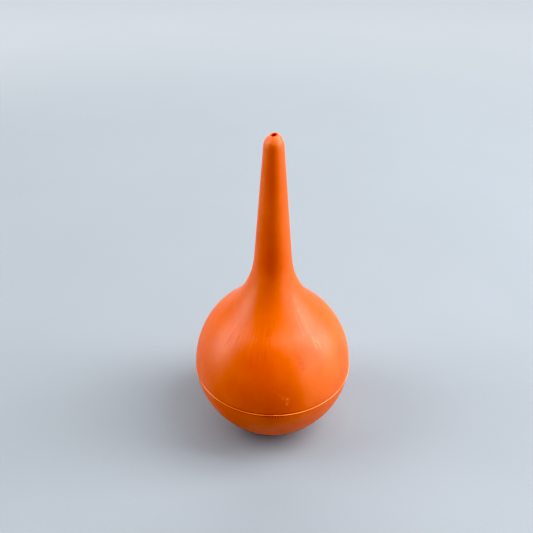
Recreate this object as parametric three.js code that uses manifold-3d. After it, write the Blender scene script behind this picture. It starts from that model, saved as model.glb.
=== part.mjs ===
// A hand-squeezed bulb aspirator, moulded in one piece of soft rubber: a round bulb on a small flat
// base, a long tapered nozzle with a wide fillet at its root, and a small hole in the rounded tip.
// Sizes are in millimetres. The origin is the centre of the flat base and +Z runs up the nozzle.

import * as THREE from 'three';
import * as BufferGeometryUtils from 'three/addons/utils/BufferGeometryUtils.js';
import Module from 'manifold-3d';

// The bulb
const BULB_RADIUS = 26;
const WALL = 2.2;
const SEAM_HEIGHT = 24.8;      // the greatest diameter, where the two halves of the mould met
const DOME_HEIGHT = 27.6;      // vertical half-axis of the ellipse above the seam
const BOWL_DEPTH = 27.4;       // vertical half-axis of the curve below the seam
const BOWL_FULLNESS = 1.8;     // power of that curve: 2 would be an ellipse
const BEAD = 0.2;              // how far the moulding line stands out, and half its height

// The nozzle
const NECK_FILLET = 30;
const NOZZLE_LOW = 60;         // height at which NOZZLE_LOW_RADIUS is measured
const NOZZLE_LOW_RADIUS = 6.35;
const TIP_HEIGHT = 106.2;
const TIP_RADIUS = 2.67;       // the nozzle's cone carried on to the tip's height
const TIP_ROUND = 4;           // height of the rounded end
const HOLE_RADIUS = 0.95;
const HOLE_LENGTH = 8;         // the straight hole behind the tip, before the bore widens

// Where the moulding is divided into the regions that move
const GAP = 0.3;
const FLEX_LOW = 62;           // the nozzle bends between these two heights
const FLEX_HIGH = 76;
const SQUEEZE_RADIUS = 16;     // the round finger area on each side of the bulb
const SQUEEZE_HEIGHT = 25;

// How finely the curves are drawn
const ROUND_SEGMENTS = 48;
const CURVE_STEPS = 9;
const FILLET_STEPS = 7;
const TIP_STEPS = 5;

const wasm = await Module();
wasm.setup();

// The straight cone of the nozzle: its radius changes by this much for each millimetre of height
const NOZZLE_SLOPE = (TIP_RADIUS - NOZZLE_LOW_RADIUS) / (TIP_HEIGHT - NOZZLE_LOW);

function nozzleRadius(height) {
  return NOZZLE_LOW_RADIUS + NOZZLE_SLOPE * (height - NOZZLE_LOW);
}

// A point on the dome at an angle above the seam
function domePoint(angle) {
  return new THREE.Vector2(
    BULB_RADIUS * Math.cos(angle),
    SEAM_HEIGHT + DOME_HEIGHT * Math.sin(angle),
  );
}

function domeNormal(angle) {
  return new THREE.Vector2(Math.cos(angle) / BULB_RADIUS, Math.sin(angle) / DOME_HEIGHT).normalize();
}

// The neck fillet touches the dome and the nozzle's cone. Its centre lies one fillet radius off the
// dome, and halving the angle finds the place where it is also one fillet radius off the cone.
function neckFillet() {
  const coneNormal = new THREE.Vector2(1, -NOZZLE_SLOPE).normalize();
  let low = 0.2;
  let high = 1.55;
  let centre;
  while (high - low > 1e-9) {
    const angle = (low + high) / 2;
    centre = domePoint(angle).addScaledVector(domeNormal(angle), NECK_FILLET);
    const fromCone = (centre.x - nozzleRadius(centre.y)) * coneNormal.x;
    if (fromCone > NECK_FILLET) {
      low = angle;
    } else {
      high = angle;
    }
  }
  const onCone = centre.clone().addScaledVector(coneNormal, -NECK_FILLET);
  return { domeAngle: low, centre, onCone };
}

function sampled(steps, pointAt) {
  return Array.from({ length: steps + 1 }, (_, step) => pointAt(step / steps));
}

// The outside of the whole moulding, from the base's rim up to the edge of the hole, which is cut
// through a domed end
function outerOutline() {
  const power = 2 / BOWL_FULLNESS;
  const baseAngle = Math.acos((SEAM_HEIGHT / BOWL_DEPTH) ** (1 / power));
  const bowl = sampled(CURVE_STEPS, (t) => {
    const angle = THREE.MathUtils.lerp(baseAngle, Math.PI / 2, t);
    return new THREE.Vector2(
      BULB_RADIUS * Math.sin(angle) ** power,
      SEAM_HEIGHT - BOWL_DEPTH * Math.max(Math.cos(angle), 0) ** power,
    );
  });
  const bead = [
    new THREE.Vector2(BULB_RADIUS, SEAM_HEIGHT - BEAD),
    new THREE.Vector2(BULB_RADIUS + BEAD, SEAM_HEIGHT),
    new THREE.Vector2(BULB_RADIUS, SEAM_HEIGHT + BEAD),
  ];
  const { domeAngle, centre, onCone } = neckFillet();
  const dome = sampled(CURVE_STEPS, (t) => domePoint(t * domeAngle));
  const onDome = dome.at(-1);
  const from = onDome.clone().sub(centre).angle();
  const to = onCone.clone().sub(centre).angle();
  const fillet = sampled(FILLET_STEPS, (t) => {
    const angle = THREE.MathUtils.lerp(from, to, t);
    return new THREE.Vector2(Math.cos(angle), Math.sin(angle)).multiplyScalar(NECK_FILLET).add(centre);
  });
  const shoulder = TIP_HEIGHT - TIP_ROUND;
  const shoulderRadius = nozzleRadius(shoulder);
  const rimAngle = Math.acos(HOLE_RADIUS / shoulderRadius);
  const tip = sampled(TIP_STEPS, (t) => new THREE.Vector2(
    shoulderRadius * Math.cos(t * rimAngle),
    shoulder + TIP_ROUND * Math.sin(t * rimAngle) / Math.sin(rimAngle),
  ));
  return [...bowl.slice(0, -1), ...bead, ...dome.slice(1), ...fillet.slice(1), ...tip];
}

// The inside: a parallel curve one wall thickness in as far as the nozzle, then the tapered bore
function innerOutline(outline) {
  const smooth = outline.filter((point) => point.x <= BULB_RADIUS);
  const parallel = smooth.map((point, index) => {
    const before = smooth[Math.max(index - 1, 0)];
    const after = smooth[Math.min(index + 1, smooth.length - 1)];
    const along = after.clone().sub(before).normalize();
    return new THREE.Vector2(point.x - along.y * WALL, point.y + along.x * WALL);
  });
  return [
    ...parallel.filter((point) => point.y < NOZZLE_LOW),
    new THREE.Vector2(nozzleRadius(NOZZLE_LOW) - WALL, NOZZLE_LOW),
    new THREE.Vector2(HOLE_RADIUS, TIP_HEIGHT - HOLE_LENGTH),
    new THREE.Vector2(HOLE_RADIUS, TIP_HEIGHT),
  ];
}

const OUTSIDE = outerOutline();
const INSIDE = innerOutline(OUTSIDE);

// The stretch of a rising outline between two heights
function between(outline, low, high) {
  const cutAt = (height) => {
    const above = outline.findIndex((point) => point.y >= height);
    const a = outline[Math.max(above - 1, 0)];
    const b = outline[above];
    return above === 0 ? b.clone() : a.clone().lerp(b, (height - a.y) / (b.y - a.y));
  };
  return [cutAt(low), ...outline.filter((point) => point.y > low && point.y < high), cutAt(high)];
}

// A profile of points round +Z. LatheGeometry turns round Y, so it is tipped up.
function lathe(profile) {
  return new THREE.LatheGeometry(profile, ROUND_SEGMENTS).rotateX(Math.PI / 2);
}

// A ring of the wall between two heights, open at both ends
function wallRing(low, high) {
  const profile = [...between(OUTSIDE, low, high), ...between(INSIDE, low, high).reverse()];
  return lathe([...profile, profile[0].clone()]);
}

// The wall from the base up to a height, closed by the flat base
function wallCup(high) {
  const top = between(INSIDE, WALL, high).reverse();
  return lathe([
    new THREE.Vector2(0, 0),
    ...between(OUTSIDE, 0, high),
    ...top,
    new THREE.Vector2(0, WALL),
  ]);
}

// A round bar along Y through the bulb at the squeezed height, from one Y to another
function barAlongY(radius, from, to) {
  const bar = new THREE.CylinderGeometry(radius, radius, to - from, ROUND_SEGMENTS);
  return bar.translate(0, (from + to) / 2, SQUEEZE_HEIGHT);
}

function solid(geometry) {
  const bare = geometry.clone();
  bare.deleteAttribute('normal');
  bare.deleteAttribute('uv');
  const merged = BufferGeometryUtils.mergeVertices(bare, 1e-4);
  const corners = merged.index.array;
  const triVerts = [];
  for (let i = 0; i < corners.length; i += 3) {
    const [a, b, c] = corners.subarray(i, i + 3);
    if (a !== b && b !== c && c !== a) {
      triVerts.push(a, b, c);
    }
  }
  return new wasm.Manifold(new wasm.Mesh({
    numProp: 3,
    vertProperties: new Float32Array(merged.attributes.position.array),
    triVerts: new Uint32Array(triVerts),
  }));
}

function geometryOf(manifold) {
  const mesh = manifold.getMesh();
  const geometry = new THREE.BufferGeometry();
  geometry.setAttribute('position', new THREE.BufferAttribute(mesh.vertProperties, 3));
  geometry.setIndex(new THREE.BufferAttribute(mesh.triVerts, 1));
  geometry.computeVertexNormals();
  return geometry;
}

function without(geometry, cutter) {
  return geometryOf(solid(geometry).subtract(solid(cutter)));
}

function within(geometry, cutter) {
  return geometryOf(solid(geometry).intersect(solid(cutter)));
}

// The fixed parts of the bulb are cut clear of both finger areas
const REACH = 2 * BULB_RADIUS;
const fingerOpening = barAlongY(SQUEEZE_RADIUS + GAP, -REACH, REACH);
const SPLIT = SEAM_HEIGHT + BEAD;

function lowerBowl() {
  return without(wallCup(SPLIT), fingerOpening);
}

function upperDome() {
  return without(wallRing(SPLIT + GAP, FLEX_LOW - GAP), fingerOpening);
}

// A finger area takes in the moulding line, so it is cut from the wall of the whole bulb
function squeezeWall(from, to) {
  return within(wallCup(FLEX_LOW), barAlongY(SQUEEZE_RADIUS, from, to));
}

function nozzleRoot() {
  return wallRing(FLEX_LOW, FLEX_HIGH);
}

function nozzle() {
  return wallRing(FLEX_HIGH + GAP, TIP_HEIGHT);
}

// One orange rubber throughout, in slightly different shades to tell the regions apart
const group = new THREE.Group();

function add(name, geometry, color, roughness) {
  const material = new THREE.MeshStandardMaterial({ color, roughness, metalness: 0 });
  const mesh = new THREE.Mesh(geometry, material);
  mesh.name = name;
  group.add(mesh);
}

add('lower_bowl', lowerBowl(), 0xc9491d, 0.55);
add('upper_dome', upperDome(), 0xe0602f, 0.5);
add('squeeze_wall_front', squeezeWall(-REACH, 0), 0xe4683a, 0.45);
add('squeeze_wall_back', squeezeWall(0, REACH), 0xe4683a, 0.45);
add('nozzle_root', nozzleRoot(), 0xd9562a, 0.5);
add('nozzle', nozzle(), 0xde5d30, 0.45);

export default group;
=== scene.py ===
"""A soft rubber bulb aspirator standing on a pale studio floor.

The object is one moulding, so its skin is shaped as one closed surface and then parted into
three pieces: the bulb's front half, its back half and the nozzle. Each piece keeps the shading
of the whole skin, so no line shows where they meet.
"""

import math

import bmesh
import bpy
import numpy as np
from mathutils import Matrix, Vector


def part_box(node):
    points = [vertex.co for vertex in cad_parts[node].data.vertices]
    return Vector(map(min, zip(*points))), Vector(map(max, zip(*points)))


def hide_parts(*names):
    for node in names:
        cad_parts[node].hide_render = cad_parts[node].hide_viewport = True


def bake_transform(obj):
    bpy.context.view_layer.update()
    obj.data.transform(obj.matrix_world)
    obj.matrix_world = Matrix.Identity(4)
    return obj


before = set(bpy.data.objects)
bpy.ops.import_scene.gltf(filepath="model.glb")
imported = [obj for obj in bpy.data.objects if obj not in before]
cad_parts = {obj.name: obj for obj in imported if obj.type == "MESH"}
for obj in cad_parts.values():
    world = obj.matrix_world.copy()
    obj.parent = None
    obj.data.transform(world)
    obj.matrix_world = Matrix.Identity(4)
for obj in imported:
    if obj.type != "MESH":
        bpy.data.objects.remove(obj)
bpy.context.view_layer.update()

# ---------------------------------------------------------------------------------------------
# Sizes, in metres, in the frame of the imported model
# ---------------------------------------------------------------------------------------------

MM = 0.001
BEAD = 0.2 * MM                 # how far the moulding line stands out
BULB_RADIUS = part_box("lower_bowl")[1].x - BEAD
SEAM_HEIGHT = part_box("lower_bowl")[1].z - BEAD
TIP_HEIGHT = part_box("nozzle")[1].z
FLEX_LOW, FLEX_HIGH = (corner.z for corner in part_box("nozzle_root"))
WALL = 2.2 * MM

DOME_HEIGHT = 27.6 * MM         # half-axis of the ellipse above the seam
BOWL_DEPTH = 27.4 * MM          # half-axis of the curve below it
BOWL_FULLNESS = 1.8             # power of that curve, where 2 is an ellipse
BASE_EDGE = 1.6 * MM            # soft edge where the flat base turns up into the bowl

NECK_FILLET = 30 * MM
NOZZLE_LOW = 60 * MM
NOZZLE_LOW_RADIUS = 6.35 * MM
TIP_RADIUS = 2.67 * MM          # the nozzle's cone carried on to the tip's height
TIP_ROUND = 4 * MM              # height of the rounded end
CAP_FULLNESS = 0.9              # power of the rounded end's outline, where 1 is an ellipse
HOLE_RADIUS = 0.95 * MM
HOLE_EDGE = 0.3 * MM            # soft edge of the hole
HOLE_LENGTH = 8 * MM
TILT_DEPTH = 1.6 * MM           # how much of the end is out of square

NECK_SPLIT = FLEX_LOW - 1.5 * MM    # where the nozzle's skin meets the bulb's
SEAM_BAND = 1.6 * MM            # the skin is finest this near the moulding line
POLE_RADIUS = 1.0 * MM          # the first and last rows, round the middle of the base
AROUND = 288                    # columns round the skin
SMOOTH = 500                    # points along a curve before it is spaced out evenly
FRONT = math.radians(-89.4)     # direction of the nicks in the moulding line

NOZZLE_SLOPE = (TIP_RADIUS - NOZZLE_LOW_RADIUS) / (TIP_HEIGHT - NOZZLE_LOW)


# ---------------------------------------------------------------------------------------------
# The outline, as rows of (radius, height) from the base's centre up to the hole
# ---------------------------------------------------------------------------------------------

def nozzle_radius(height):
    return NOZZLE_LOW_RADIUS + NOZZLE_SLOPE * (height - NOZZLE_LOW)


def dome_point(angle):
    return np.array([BULB_RADIUS * math.cos(angle), SEAM_HEIGHT + DOME_HEIGHT * math.sin(angle)])


def neck_fillet():
    """The angle up the dome where the fillet starts, its centre, and where it meets the cone."""
    cone_normal = np.array([1, -NOZZLE_SLOPE]) / math.hypot(1, NOZZLE_SLOPE)
    low, high = 0.2, 1.55
    while high - low > 1e-9:
        angle = (low + high) / 2
        normal = np.array([math.cos(angle) / BULB_RADIUS, math.sin(angle) / DOME_HEIGHT])
        centre = dome_point(angle) + NECK_FILLET * normal / np.linalg.norm(normal)
        if (centre[0] - nozzle_radius(centre[1])) * cone_normal[0] > NECK_FILLET:
            low = angle
        else:
            high = angle
    return low, centre, centre - NECK_FILLET * cone_normal


def resampled(rows, step):
    """The same line with evenly spaced points, about a step apart."""
    lengths = np.concatenate([[0], np.cumsum(np.linalg.norm(np.diff(rows, axis=0), axis=1))])
    count = max(int(round(lengths[-1] / step)), 2)
    at = np.linspace(0, lengths[-1], count + 1)
    return np.stack([np.interp(at, lengths, rows[:, axis]) for axis in (0, 1)], 1)


def bowl_line(steps):
    """The smooth bowl, from the base's rim up to the seam."""
    power = 2 / BOWL_FULLNESS
    rim = math.acos((SEAM_HEIGHT / BOWL_DEPTH) ** (1 / power))
    angles = np.linspace(rim, math.pi / 2, steps)
    radius = BULB_RADIUS * np.sin(angles) ** power
    height = SEAM_HEIGHT - BOWL_DEPTH * np.clip(np.cos(angles), 0, None) ** power
    return np.stack([radius, height], 1)


def arc(centre, start, end, steps):
    """A round arc from start to end, a quarter turn or less."""
    first, last = (
        math.atan2(point[1] - centre[1], point[0] - centre[0]) % math.tau for point in (start, end)
    )
    angles = np.linspace(first, last, steps)
    reach = np.linalg.norm(np.array(start) - centre)
    return centre + reach * np.stack([np.cos(angles), np.sin(angles)], 1)


def eased(start, corner, end, steps):
    """A curve from start to end that would otherwise meet in a sharp corner."""
    t = np.linspace(0, 1, steps)[:, None]
    return (1 - t) ** 2 * np.array(start) + 2 * t * (1 - t) * np.array(corner) + t ** 2 * np.array(end)


def cap(shoulder, rim_radius, steps):
    """The nozzle's end: a dome that would close on the axis, as far in as the hole's rim."""
    rim_angle = math.acos((rim_radius / shoulder[0]) ** (1 / CAP_FULLNESS))
    turn = np.linspace(0, rim_angle, steps)
    radius = shoulder[0] * np.cos(turn) ** CAP_FULLNESS
    return np.stack([radius, shoulder[1] + TIP_ROUND * np.sin(turn) / math.sin(rim_angle)], 1)


def hole_edge(end):
    """From the last two points of the rounded end over into the hole."""
    before, rim = end[-2:]
    slope = (rim[1] - before[1]) / (rim[0] - before[0])
    corner = [HOLE_RADIUS, rim[1] + slope * (HOLE_RADIUS - rim[0])]
    return eased(rim, corner, [HOLE_RADIUS, rim[1] - HOLE_EDGE], 12)


def base_edge(bowl):
    """The soft edge of the flat base, and the part of the bowl above it."""
    rim = bowl[0]
    above = bowl[np.linalg.norm(bowl - rim, axis=1) > BASE_EDGE]
    return eased(rim - [BASE_EDGE, 0], rim, above[0], 9), above


def joined(*parts):
    """The rows of all the parts, without repeating a point where two of them touch."""
    rows = [parts[0]]
    for part in parts[1:]:
        touching = np.linalg.norm(part[0] - rows[-1][-1]) < 1e-8
        rows.append(part[1:] if touching else part)
    return np.concatenate(rows)


def outside_rows():
    """The smooth outside, without the moulding line: finest where the moulding line will go."""
    start_angle, centre, on_cone = neck_fillet()
    dome = np.array([dome_point(angle) for angle in np.linspace(0, start_angle, SMOOTH)])
    edge, bowl = base_edge(bowl_line(SMOOTH))
    low = bowl[:, 1] < SEAM_HEIGHT - SEAM_BAND
    high = dome[:, 1] > SEAM_HEIGHT + SEAM_BAND
    shoulder = np.array([nozzle_radius(TIP_HEIGHT - TIP_ROUND), TIP_HEIGHT - TIP_ROUND])
    end = resampled(cap(shoulder, HOLE_RADIUS + HOLE_EDGE, 80), 0.1 * MM)
    return joined(
        resampled(np.array([[POLE_RADIUS, 0], edge[0]]), 1.0 * MM),
        edge,
        resampled(bowl[low], 0.7 * MM),
        resampled(joined(bowl[~low], dome[~high]), 0.05 * MM),
        resampled(joined(dome[high], arc(centre, dome[-1], on_cone, SMOOTH)), 0.6 * MM),
        resampled(np.array([on_cone, shoulder]), 0.8 * MM),
        end,
        hole_edge(end),
    )


def inside_rows(outside):
    """From the hole down the tapered bore, and round the chamber one wall thickness in."""
    along = np.gradient(outside, axis=0)
    along /= np.linalg.norm(along, axis=1)[:, None]
    inward = outside + WALL * np.stack([-along[:, 1], along[:, 0]], 1)
    above_base = (outside[:, 1] > 0.1 * MM) & (inward[:, 1] > WALL)
    bulb = inward[above_base & (inward[:, 1] < NOZZLE_LOW - MM)]
    mouth = np.array([HOLE_RADIUS, TIP_HEIGHT - 2 * HOLE_EDGE])
    bore_top = np.array([HOLE_RADIUS, TIP_HEIGHT - HOLE_LENGTH])
    bore_low = np.array([nozzle_radius(NOZZLE_LOW) - WALL, NOZZLE_LOW])
    floor_edge = np.array([bulb[0][0], WALL])
    return joined(
        resampled(np.array([mouth, bore_top]), 1.5 * MM),
        resampled(np.array([bore_top, bore_low]), 2.5 * MM),
        resampled(bulb[::-1], 1.6 * MM),
        resampled(np.array([floor_edge, [POLE_RADIUS, WALL]]), 1.6 * MM),
    )


# ---------------------------------------------------------------------------------------------
# Small shapes of the moulding, pushed out of or into the smooth skin
# ---------------------------------------------------------------------------------------------

def hill(x, width):
    """A smooth hill, one high."""
    return np.exp(-(x / width) ** 2)


def above_line(height, theta):
    """Height above the moulding line, which wanders a little as it goes round."""
    wander = 0.05 * np.sin(3 * theta + 0.6) + 0.03 * np.sin(11 * theta)
    return height - SEAM_HEIGHT - wander * MM


def moulding_line(above, theta):
    """A thin ridge of flash, uneven where it was trimmed, with a fine groove on each side."""
    fullness = 0.70 + 0.18 * np.cos(theta - FRONT - 0.7)
    fullness = fullness + 0.10 * np.sin(5 * theta + 2.1) + 0.07 * np.sin(17 * theta + 0.4)
    fullness = fullness + 0.05 * np.sin(41 * theta + 1.3)
    ridge = BEAD * fullness * hill(above, 0.18 * MM)
    upper_groove = 0.12 * MM * hill(above - 0.42 * MM, 0.17 * MM)
    lower_groove = 0.07 * MM * hill(above + 0.40 * MM, 0.16 * MM)
    return ridge - upper_groove - lower_groove


def nicks(above, theta):
    """Small nicks under the flash at the front, where it was trimmed."""
    reach = hill(above + 0.60 * MM, 0.70 * MM)
    total = 0
    for degrees, depth in ((-6, 0.5), (-3.6, 0.8), (-1.5, 1), (0.6, 0.9), (2.4, 1), (4.8, 0.6)):
        beside = (theta - FRONT - math.radians(degrees)) * BULB_RADIUS
        total = total + depth * hill(beside, 0.2 * MM)
    return -0.2 * MM * reach * total


def tip_ring(height):
    """A faint step round the nozzle's end."""
    above = height - (TIP_HEIGHT - 1.6 * MM)
    return 0.03 * MM * (hill(above + 0.25 * MM, 0.35 * MM) - hill(above - 0.30 * MM, 0.35 * MM))


def unevenness(height, theta):
    """Slow waves that keep the soft wall from being perfectly round."""
    wave = 0.06 * np.sin(2 * theta + 0.4 + height * 60)
    wave = wave + 0.05 * np.sin(3 * theta - 1.1 - height * 95)
    wave = wave + 0.025 * np.sin(5 * theta + 2.0 + height * 160)
    return wave * MM


def skin_points(rows, angles, detail):
    """The skin's points for each row and column, and how far each is above the moulding line.

    With detail, the skin has its small shapes.
    """
    along = np.gradient(rows, axis=0)
    along /= np.linalg.norm(along, axis=1)[:, None]
    radius, height = np.repeat(rows[:, :, None], len(angles), axis=2).transpose(1, 0, 2)
    theta = np.repeat(angles[None, :], len(rows), axis=0)
    push = np.zeros(height.shape)
    above = np.full(height.shape, TIP_HEIGHT)
    if detail:
        fade = np.clip((height - 1.5 * MM) / (8 * MM), 0, 1) * np.clip(radius / BULB_RADIUS, 0, 1)
        push = unevenness(height, theta) * fade
        push += tip_ring(height)
        above = above_line(height, theta)
        push += (moulding_line(above, theta) + nicks(above, theta)) * (radius > 0.9 * BULB_RADIUS)
    radius = radius + push * along[:, 1][:, None]
    height = height - push * along[:, 0][:, None]
    points = np.stack([radius * np.cos(theta), radius * np.sin(theta), height], 2)
    return tilted_tip(points), above


def tilted_tip(points):
    """The points with the end a little out of square: its right side stands higher."""
    share = np.clip((points[..., 2] - (TIP_HEIGHT - TILT_DEPTH)) / TILT_DEPTH, 0, 1)
    lift = points[..., 0] * 0.15 + points[..., 1] * 0.08
    points[..., 2] += share ** 2 * (3 - 2 * share) * lift
    return points


# ---------------------------------------------------------------------------------------------
# The skin and its three pieces
# ---------------------------------------------------------------------------------------------

NORMAL_LAYERS = ("skin_nx", "skin_ny", "skin_nz")
REST_LAYER = "rest_place"       # each point's place at rest, in millimetres, for the material
LINE_LAYER = "above_line"       # its height above the moulding line, in millimetres
CUT_FACE = 1                    # marks the flat faces that close a cut, while a piece is made


def column_angles():
    """Columns all round, with more of them where the moulding line has its nicks."""
    even = np.linspace(-math.pi, math.pi, AROUND, endpoint=False)
    extra = FRONT + np.linspace(-1, 1, 97) * math.radians(7)
    return np.unique(np.round(np.concatenate([even, extra]), 6))


def grid_normals(points):
    """Unit normals of a grid that closes round, pointing out of the rubber."""
    up = np.gradient(points, axis=0)
    sideways = np.roll(points, -1, axis=1) - np.roll(points, 1, axis=1)
    normal = np.cross(sideways, up)
    return normal / np.linalg.norm(normal, axis=2)[..., None]


def skin_faces(rows, columns):
    """Faces of a grid that closes round, whose last two points close its first and last rows."""
    first_pole, last_pole = rows * columns, rows * columns + 1
    top = (rows - 1) * columns
    faces = []
    for col in range(columns):
        beside = (col + 1) % columns
        faces.append((first_pole, beside, col))
        for low in range(0, top, columns):
            high = low + columns
            faces.append((low + col, low + beside, high + beside, high + col))
        faces.append((top + col, top + beside, last_pole))
    return faces


def store(mesh, layer, kind, field, values):
    mesh.attributes.new(layer, kind, "POINT").data.foreach_set(field, values)


def whole_skin():
    """A mesh of the whole moulding, outside and inside, with each point's normal stored in it."""
    outside = outside_rows()
    angles = column_angles()
    outer, outer_above = skin_points(outside, angles, True)
    inner, inner_above = skin_points(inside_rows(outside), angles, False)
    points = np.concatenate([outer, inner])
    above = np.concatenate([outer_above, inner_above])
    places = np.concatenate([points.reshape(-1, 3), [(0, 0, 0), (0, 0, WALL)]])
    normals = np.concatenate([grid_normals(points).reshape(-1, 3), [(0, 0, -1), (0, 0, 1)]])
    mesh = bpy.data.meshes.new("whole_skin")
    mesh.from_pydata(places.tolist(), [], skin_faces(*points.shape[:2]))
    for axis, layer in enumerate(NORMAL_LAYERS):
        store(mesh, layer, "FLOAT", "value", normals[:, axis])
    store(mesh, REST_LAYER, "FLOAT_VECTOR", "vector", (places / MM).ravel())
    store(mesh, LINE_LAYER, "FLOAT", "value", np.append(above.ravel(), [TIP_HEIGHT, TIP_HEIGHT]) / MM)
    return mesh


def cut_away(bm, point, normal):
    """Removes what lies on the normal's side of a plane, and closes the cut with a flat face."""
    everything = bm.verts[:] + bm.edges[:] + bm.faces[:]
    cut = bmesh.ops.bisect_plane(
        bm, geom=everything, dist=1e-7, plane_co=point, plane_no=normal, clear_outer=True
    )
    edges = [item for item in cut["geom_cut"] if isinstance(item, bmesh.types.BMEdge)]
    made = bmesh.ops.triangle_fill(bm, use_beauty=True, edges=edges, normal=normal)
    for item in made["geom"]:
        if isinstance(item, bmesh.types.BMFace):
            item.material_index = CUT_FACE
            item.smooth = False


def keep_shading(mesh):
    """Gives a piece the whole skin's normals, so that no line shows where pieces meet."""
    stored = np.zeros((len(mesh.vertices), 3), np.float32)
    for axis, layer in enumerate(NORMAL_LAYERS):
        column = np.zeros(len(mesh.vertices), np.float32)
        mesh.attributes[layer].data.foreach_get("value", column)
        stored[:, axis] = column
        mesh.attributes.remove(mesh.attributes[layer])
    stored /= np.maximum(np.linalg.norm(stored, axis=1), 1e-9)[:, None]
    loop_normals = []
    for polygon in mesh.polygons:
        is_cut = polygon.material_index == CUT_FACE
        for vertex in polygon.vertices:
            loop_normals.append(tuple(polygon.normal) if is_cut else tuple(stored[vertex]))
        polygon.use_smooth = True
        polygon.material_index = 0
    mesh.normals_split_custom_set(loop_normals)


def parted(whole, name, cuts, material):
    """The part of the skin behind every cut. A cut is (point, normal)."""
    bm = bmesh.new()
    bm.from_mesh(whole)
    for point, normal in cuts:
        cut_away(bm, point, normal)
    bmesh.ops.recalc_face_normals(bm, faces=bm.faces[:])
    mesh = bpy.data.meshes.new(name)
    bm.to_mesh(mesh)
    bm.free()
    keep_shading(mesh)
    mesh.materials.append(material)
    obj = bpy.data.objects.new(name, mesh)
    bpy.context.scene.collection.objects.link(obj)
    return obj


# ---------------------------------------------------------------------------------------------
# Materials
# ---------------------------------------------------------------------------------------------

class Shading:
    """A new material. Its methods add shader nodes, take sockets or values, and return sockets."""

    def __init__(self, name):
        self.material = bpy.data.materials.new(name)
        self.material.use_nodes = True
        self.tree = self.material.node_tree
        self.shader = self.tree.nodes["Principled BSDF"]

    def feed(self, socket, value):
        if isinstance(value, bpy.types.NodeSocket):
            self.tree.links.new(value, socket)
        else:
            socket.default_value = value

    def attribute(self, name, output):
        node = self.tree.nodes.new("ShaderNodeAttribute")
        node.attribute_name = name
        return node.outputs[output]

    def maths(self, operation, *values, clamp=False):
        node = self.tree.nodes.new("ShaderNodeMath")
        node.operation = operation
        node.use_clamp = clamp
        for socket, value in zip(node.inputs, values):
            self.feed(socket, value)
        return node.outputs[0]

    def product(self, first, *others):
        for value in others:
            first = self.maths("MULTIPLY", first, value)
        return first

    def total(self, first, *others):
        for value in others:
            first = self.maths("ADD", first, value)
        return first

    def vector(self, operation, *values, output="Vector"):
        node = self.tree.nodes.new("ShaderNodeVectorMath")
        node.operation = operation
        for socket, value in zip(node.inputs, values):
            self.feed(socket, value)
        return node.outputs[output]

    def scaled(self, vector, factor):
        node = self.tree.nodes.new("ShaderNodeVectorMath")
        node.operation = "SCALE"
        self.feed(node.inputs[0], vector)
        self.feed(node.inputs["Scale"], factor)
        return node.outputs["Vector"]

    def noise(self, place, stretch, detail=2.0):
        """Noise from 0 to 1, with so many features per millimetre along each axis."""
        node = self.tree.nodes.new("ShaderNodeTexNoise")
        self.feed(node.inputs["Vector"], self.vector("MULTIPLY", place, stretch))
        node.inputs["Scale"].default_value = 1
        node.inputs["Detail"].default_value = detail
        return node.outputs[0]

    def ramp(self, value, low, high, start=0.0, end=1.0):
        """A smooth change from start, where the value is low, to end, where it is high."""
        node = self.tree.nodes.new("ShaderNodeMapRange")
        node.interpolation_type = "SMOOTHSTEP"
        for socket, given in zip(node.inputs, (value, low, high, start, end)):
            self.feed(socket, given)
        return node.outputs[0]

    def near(self, value, centre, reach):
        """One where the value is at the centre, down to nothing a reach away."""
        away = self.maths("ABSOLUTE", self.maths("SUBTRACT", value, centre))
        return self.ramp(away, reach, 0)

    def mixed(self, share, first, second):
        node = self.tree.nodes.new("ShaderNodeMix")
        node.data_type = "RGBA"
        self.feed(node.inputs["Factor"], share)
        self.feed(node.inputs["A"], first)
        self.feed(node.inputs["B"], second)
        return node.outputs["Result"]

    def bump(self, height, depth, strength=1.0, under=None):
        node = self.tree.nodes.new("ShaderNodeBump")
        node.inputs["Strength"].default_value = strength
        node.inputs["Distance"].default_value = depth
        self.feed(node.inputs["Height"], height)
        if under is not None:
            self.feed(node.inputs["Normal"], under)
        return node.outputs["Normal"]


# Colours, as linear red, green, blue and alpha
RUBBER = (0.73, 0.134, 0.025, 1)
RUBBER_DEEP = (0.66, 0.104, 0.014, 1)
# dark rubber for the finger smears, and for the painted crease shade in the grooves
RUBBER_GRIME_AND_SHADE = (0.34, 0.034, 0.002, 1)
RUBBER_PALE = (0.95, 0.34, 0.15, 1)
# painted highlight on the moulding line's crest
RUBBER_CREST_HIGHLIGHT = (0.97, 0.33, 0.09, 1)

FLOOR_DARK = (0.288, 0.318, 0.350, 1)
FLOOR_LIGHT = (0.302, 0.333, 0.366, 1)
BACKDROP = (0.64, 0.69, 0.74, 1)
BLACK = (0, 0, 0, 1)
FLOOR_FADE = (280, 600)         # distances (mm) between which the floor turns into the backdrop

# Marks on the bulb: bearing (degrees) and height (mm) of both ends, width (mm) and strength
PALE_SCUFFS = [
    # A trail of rubs down the front right
    (-43, 55.5, -44, 54.5, 0.8, 0.3),
    (-43, 52.5, -45.5, 52, 0.9, 0.4),
    (-44, 51, -45.5, 46.5, 1.3, 0.15),
    (-46, 45.5, -47, 42.5, 0.6, 0.3),
    (-46, 45, -43, 43.5, 0.6, 0.3),
    (-41.5, 44.5, -43, 42, 0.6, 0.25),
    # A hooked scratch above the moulding line
    (-89, 34, -83, 31.5, 0.8, 0.1),
    (-83, 31.5, -79, 31, 0.7, 0.2),
    (-80, 31, -80.5, 29, 0.7, 0.35),
]
DARK_SMEARS = [
    (-48.5, 51.5, -49, 50, 0.8, 0.4),
    (-67.5, 42.5, -67, 41, 1.2, 0.35),
    (-64.5, 41, -66, 39, 1.0, 0.3),
    (-62, 40.5, -63.5, 39, 0.8, 0.25),
]


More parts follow.
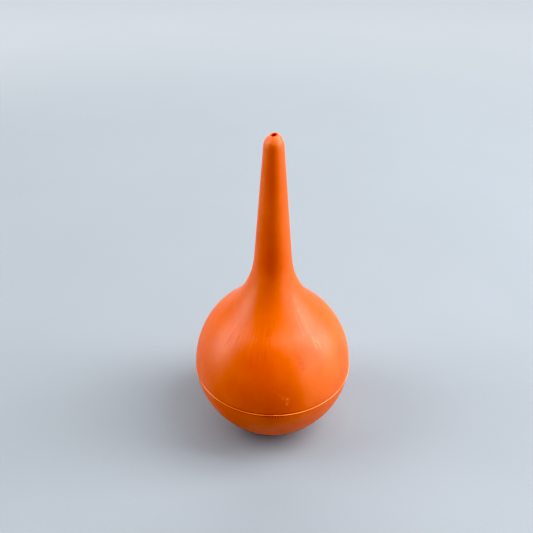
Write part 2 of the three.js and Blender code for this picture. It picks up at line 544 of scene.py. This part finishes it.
def on_dome(bearing, height):
    """A point of the smooth outside, in millimetres, above the seam and below the neck."""
    rows = outside_rows() / MM
    rows = rows[: np.argmax(rows[:, 1])]
    radius = np.interp(height, rows[:, 1], rows[:, 0])
    turn = math.radians(bearing)
    return Vector((radius * math.cos(turn), radius * math.sin(turn), height))


def strokes(shading, place, marks):
    """How strongly the surface is marked, by any of some short straight strokes."""
    total = 0.0
    for bearing, height, last_bearing, last_height, width, strength in marks:
        start = on_dome(bearing, height)
        along = on_dome(last_bearing, last_height) - start
        offset = shading.vector("SUBTRACT", place, start)
        reach = shading.vector("DOT_PRODUCT", offset, along / along.length_squared, output="Value")
        nearest = shading.scaled(along, shading.maths("MULTIPLY", reach, 1.0, clamp=True))
        away = shading.vector("DISTANCE", offset, nearest, output="Value")
        total = shading.maths("ADD", total, shading.ramp(away, width, 0, 0, strength))
    return total


def base_tone(shading, clouds, grain):
    """Two near shades of the rubber, mottled in clouds and in a fine grain."""
    colour = shading.mixed(shading.ramp(clouds, 0.35, 0.65), RUBBER, RUBBER_DEEP)
    return shading.mixed(shading.ramp(grain, 0.30, 0.75, 0, 0.16), colour, RUBBER_DEEP)


def lengthwise_streaks(shading, place):
    """Noise that changes quickly round the axis and slowly along it."""
    around = shading.vector("NORMALIZE", shading.vector("MULTIPLY", place, (1, 1, 0)))
    lengthwise = shading.vector("ADD", shading.scaled(around, 22), shading.scaled(place, 0.09))
    return shading.noise(lengthwise, (0.85, 0.85, 1), 2)


def handled_share(shading, place, y, height):
    """Where fingers have been: in patches of a belt below the neck, most at the front."""
    belt = shading.near(height, 46.5, 7.5)
    facing = shading.ramp(y, -5, -14, 0.25, 1)
    patches = shading.ramp(shading.noise(place, (0.3, 0.3, 0.3)), 0.38, 0.6)
    return shading.product(belt, facing, patches)


def groove_shade_share(shading, above):
    """Painted crease shade, with some grime: the grooves on both sides of the moulding line darkened.
    """
    upper = shading.near(above, 0.44, 0.26)
    lower = shading.near(above, -0.42, 0.22)
    return shading.product(shading.total(upper, lower), 0.78)


def crest_highlight_share(shading, place, above, patchiness):
    """Painted highlight along the crest of the moulding line, broken into long patches."""
    patches = shading.ramp(shading.noise(place, (0.13, 0.13, 0.13), 2), 0.36, 0.56, 0.25, 1)
    line = shading.near(above, 0.03, 0.24)
    return shading.product(line, shading.ramp(patchiness, 0, 0.5, 0.6, 1), patches)


def rubber():
    """Soft orange rubber: faintly mottled, streaked by handling, with painted shade in the grooves, a
    painted highlight on the moulding line's crest, and a nozzle end paler from wear and painted top
    light.
    """
    shading = Shading("orange_rubber")
    place = shading.attribute(REST_LAYER, "Vector")
    above = shading.attribute(LINE_LAYER, "Fac")
    axes = shading.tree.nodes.new("ShaderNodeSeparateXYZ")
    shading.feed(axes.inputs[0], place)
    height = axes.outputs["Z"]

    clouds = shading.noise(place, (0.07, 0.07, 0.05), 3)
    grain = shading.noise(place, (1.6, 1.6, 1.6), 3)
    breaks = shading.noise(place, (1.9, 1.9, 1.3), 2)
    streaks = lengthwise_streaks(shading, place)
    handled = handled_share(shading, place, axes.outputs["Y"], height)
    patchiness = shading.ramp(breaks, 0.2, 0.7)

    # Finger smears
    dark_streaks = shading.product(shading.ramp(streaks, 0.48, 0.72, 0, 0.34), handled)
    dark_marks = strokes(shading, place, DARK_SMEARS)
    dark_marks = shading.product(dark_marks, shading.ramp(breaks, 0.3, 0.6))
    smears = shading.maths("ADD", dark_streaks, dark_marks, clamp=True)

    # Paler: worn scuffs, stray flecks, and the nozzle's end, which is partly wear and partly painted
    # light from above
    pale_streaks = shading.product(shading.ramp(streaks, 0.44, 0.24, 0, 0.16), handled)
    scuffs = strokes(shading, place, PALE_SCUFFS)
    scuffs = shading.product(scuffs, shading.ramp(breaks, 0.30, 0.62))
    marks = shading.total(scuffs, pale_streaks)
    flecks = shading.ramp(shading.noise(place, (0.8, 0.8, 0.5), 4), 0.68, 0.80, 0, 0.16)
    # painted top light with wear: the nozzle's end paler towards its top, in patches
    end = shading.product(shading.ramp(height, 103.2, 104.6, 0, 0.15), patchiness)
    pale = shading.maths("ADD", shading.total(marks, flecks), end, clamp=True)

    colour = base_tone(shading, clouds, grain)
    colour = shading.mixed(smears, colour, RUBBER_GRIME_AND_SHADE)
    # painted crease shade: the grooves beside the moulding line darkened
    colour = shading.mixed(groove_shade_share(shading, above), colour, RUBBER_GRIME_AND_SHADE)
    colour = shading.mixed(pale, colour, RUBBER_PALE)
    # painted highlight along the moulding line's crest
    colour = shading.mixed(crest_highlight_share(shading, place, above, patchiness), colour, RUBBER_CREST_HIGHLIGHT)
    shading.feed(shading.shader.inputs["Base Color"], colour)

    # Satin, shinier where it is smeared and duller where it is worn
    roughness = shading.total(
        shading.ramp(clouds, 0.3, 0.7, 0.42, 0.50),
        shading.ramp(grain, 0.3, 0.7, -0.02, 0.03),
        shading.product(smears, -0.12),
        shading.product(pale, 0.08),
    )
    shading.feed(shading.shader.inputs["Roughness"], roughness)

    fine = shading.bump(grain, 0.02 * MM, 0.6)
    shallow = shading.bump(shading.total(streaks, marks), 0.03 * MM, 0.6, under=fine)
    shading.feed(shading.shader.inputs["Normal"], shallow)
    return shading.material


def floor_surface():
    """Smooth matt board, hardly mottled, which glows like the backdrop far from the object."""
    shading = Shading("pale_floor")
    node = shading.tree.nodes.new("ShaderNodeTexCoord")
    place = shading.scaled(node.outputs["Object"], 1 / MM)
    clouds = shading.noise(place, (0.012, 0.012, 0.012), 3)
    grain = shading.noise(place, (1.5, 1.5, 1.5), 2)
    tone = shading.total(
        shading.ramp(clouds, 0.3, 0.7, 0, 0.7),
        shading.ramp(grain, 0.3, 0.7, 0, 0.3),
    )
    colour = shading.mixed(tone, FLOOR_DARK, FLOOR_LIGHT)
    glow = shading.ramp(shading.vector("LENGTH", place, output="Value"), *FLOOR_FADE)
    colour = shading.mixed(glow, colour, BLACK)
    shader = shading.shader
    shading.feed(shader.inputs["Base Color"], colour)
    shading.feed(shader.inputs["Roughness"], shading.ramp(clouds, 0.3, 0.7, 0.76, 0.84))
    shading.feed(shader.inputs["Normal"], shading.bump(grain, 0.01 * MM, 0.4))
    shading.feed(shader.inputs["Emission Strength"], glow)
    shader.inputs["Emission Color"].default_value = BACKDROP
    shader.inputs["Specular IOR Level"].default_value = 0.2
    return shading.material


# ---------------------------------------------------------------------------------------------
# Studio
# ---------------------------------------------------------------------------------------------

FLOOR_RADIUS = 30               # metres
AIR_LIGHT = 0.01                # strength of the light that the backdrop gives
AIR_SEEN = 1                    # its strength as the camera sees it
PANEL_AIM = Vector((0, 0, 45 * MM))
PANEL_REACH = 0.75              # how far the panels stand from their aim, in metres
CAMERA_PLACE = (-2.0 * MM, -157.7 * MM, 171.8 * MM)
CAMERA_DIP = math.radians(34.58)    # how far it looks down
CAMERA_LENS = 41.88             # focal length in millimetres, on a sensor 36 mm wide
BLACK_LEVEL = 0.056             # darkens the picture's deepest tones


def floor():
    """A wide level board, so far across that its edge is lost against the backdrop."""
    mesh = bpy.data.meshes.new("studio_floor")
    bm = bmesh.new()
    bmesh.ops.create_circle(bm, cap_ends=True, cap_tris=True, segments=64, radius=FLOOR_RADIUS)
    bm.to_mesh(mesh)
    bm.free()
    mesh.materials.append(floor_surface())
    obj = bpy.data.objects.new("studio_floor", mesh)
    bpy.context.scene.collection.objects.link(obj)


def backdrop():
    """Pale air behind everything. It hardly lights the object, which the panels do."""
    world = bpy.data.worlds.new("studio_air")
    world.use_nodes = True
    tree = world.node_tree
    seen = tree.nodes.new("ShaderNodeLightPath")
    strength = tree.nodes.new("ShaderNodeMapRange")
    strength.inputs["To Min"].default_value = AIR_LIGHT
    strength.inputs["To Max"].default_value = AIR_SEEN
    tree.links.new(seen.outputs["Is Camera Ray"], strength.inputs["Value"])
    tree.links.new(strength.outputs[0], tree.nodes["Background"].inputs["Strength"])
    tree.nodes["Background"].inputs["Color"].default_value = BACKDROP
    bpy.context.scene.world = world


def panel(name, bearing, rise, width, height, power):
    """A soft rectangular light facing the object, with its sides in metres and its power in watts.

    The bearing is its direction from +X, and the rise its angle above the floor, in degrees.
    """
    light = bpy.data.lights.new(name, "AREA")
    light.shape = "RECTANGLE"
    light.size, light.size_y = width, height
    light.energy = power
    turn, lift = math.radians(bearing), math.radians(rise)
    level = math.cos(lift)
    way = Vector((math.cos(turn) * level, math.sin(turn) * level, math.sin(lift)))
    obj = bpy.data.objects.new(name, light)
    obj.location = PANEL_AIM + PANEL_REACH * way
    obj.rotation_euler = (-way).to_track_quat("-Z", "Y").to_euler()
    bpy.context.scene.collection.objects.link(obj)


def lights():
    """A bright tall panel on the right, weaker ones left and behind, and small ones to fill in."""
    panel("panel_right", 0, 38, 0.4, 1.0, 11)
    panel("panel_left", 180, 30, 0.4, 0.9, 6)
    panel("panel_back", 90, 24, 1.2, 0.5, 6)
    panel("panel_front_right", 324, 12, 0.3, 0.3, 1.2)
    panel("panel_high_front", 300, 66, 0.5, 0.5, 1.4)
    panel("panel_overhead", 0, 90, 0.5, 0.5, 0.6)


def camera():
    """Looking down at the object from the front, with it a little right of the middle."""
    data = bpy.data.cameras.new("camera")
    data.sensor_width = 36
    data.lens = CAMERA_LENS
    data.clip_start = 0.01
    data.clip_end = 20
    obj = bpy.data.objects.new("camera", data)
    obj.location = CAMERA_PLACE
    obj.rotation_euler = (math.pi / 2 - CAMERA_DIP, 0, 0)
    bpy.context.scene.collection.objects.link(obj)
    bpy.context.scene.camera = obj


# ---------------------------------------------------------------------------------------------
# The scene
# ---------------------------------------------------------------------------------------------

def build_aspirator():
    skin_material = rubber()
    whole = whole_skin()
    neck = (0, 0, NECK_SPLIT)
    middle = (0, 0, SEAM_HEIGHT)
    below_neck = (neck, (0, 0, 1))
    front = parted(whole, "bulb_front_skin", [below_neck, (middle, (0, 1, 0))], skin_material)
    back = parted(whole, "bulb_back_skin", [below_neck, (middle, (0, -1, 0))], skin_material)
    nozzle = parted(whole, "nozzle_skin", [(neck, (0, 0, -1))], skin_material)
    bpy.data.meshes.remove(whole)

    for piece, body, side in ((front, "front_wall", -1), (back, "back_wall", 1)):
        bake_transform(piece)
    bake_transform(nozzle)
    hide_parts("squeeze_wall_front", "lower_bowl")
    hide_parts("squeeze_wall_back", "upper_dome")
    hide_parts("nozzle", "nozzle_root")


build_aspirator()
floor()
lights()
backdrop()
camera()

view = bpy.context.scene.view_settings
view.view_transform = "Standard"
view.exposure = 0
view.use_curve_mapping = True
view.curve_mapping.black_level = (BLACK_LEVEL, BLACK_LEVEL, BLACK_LEVEL)
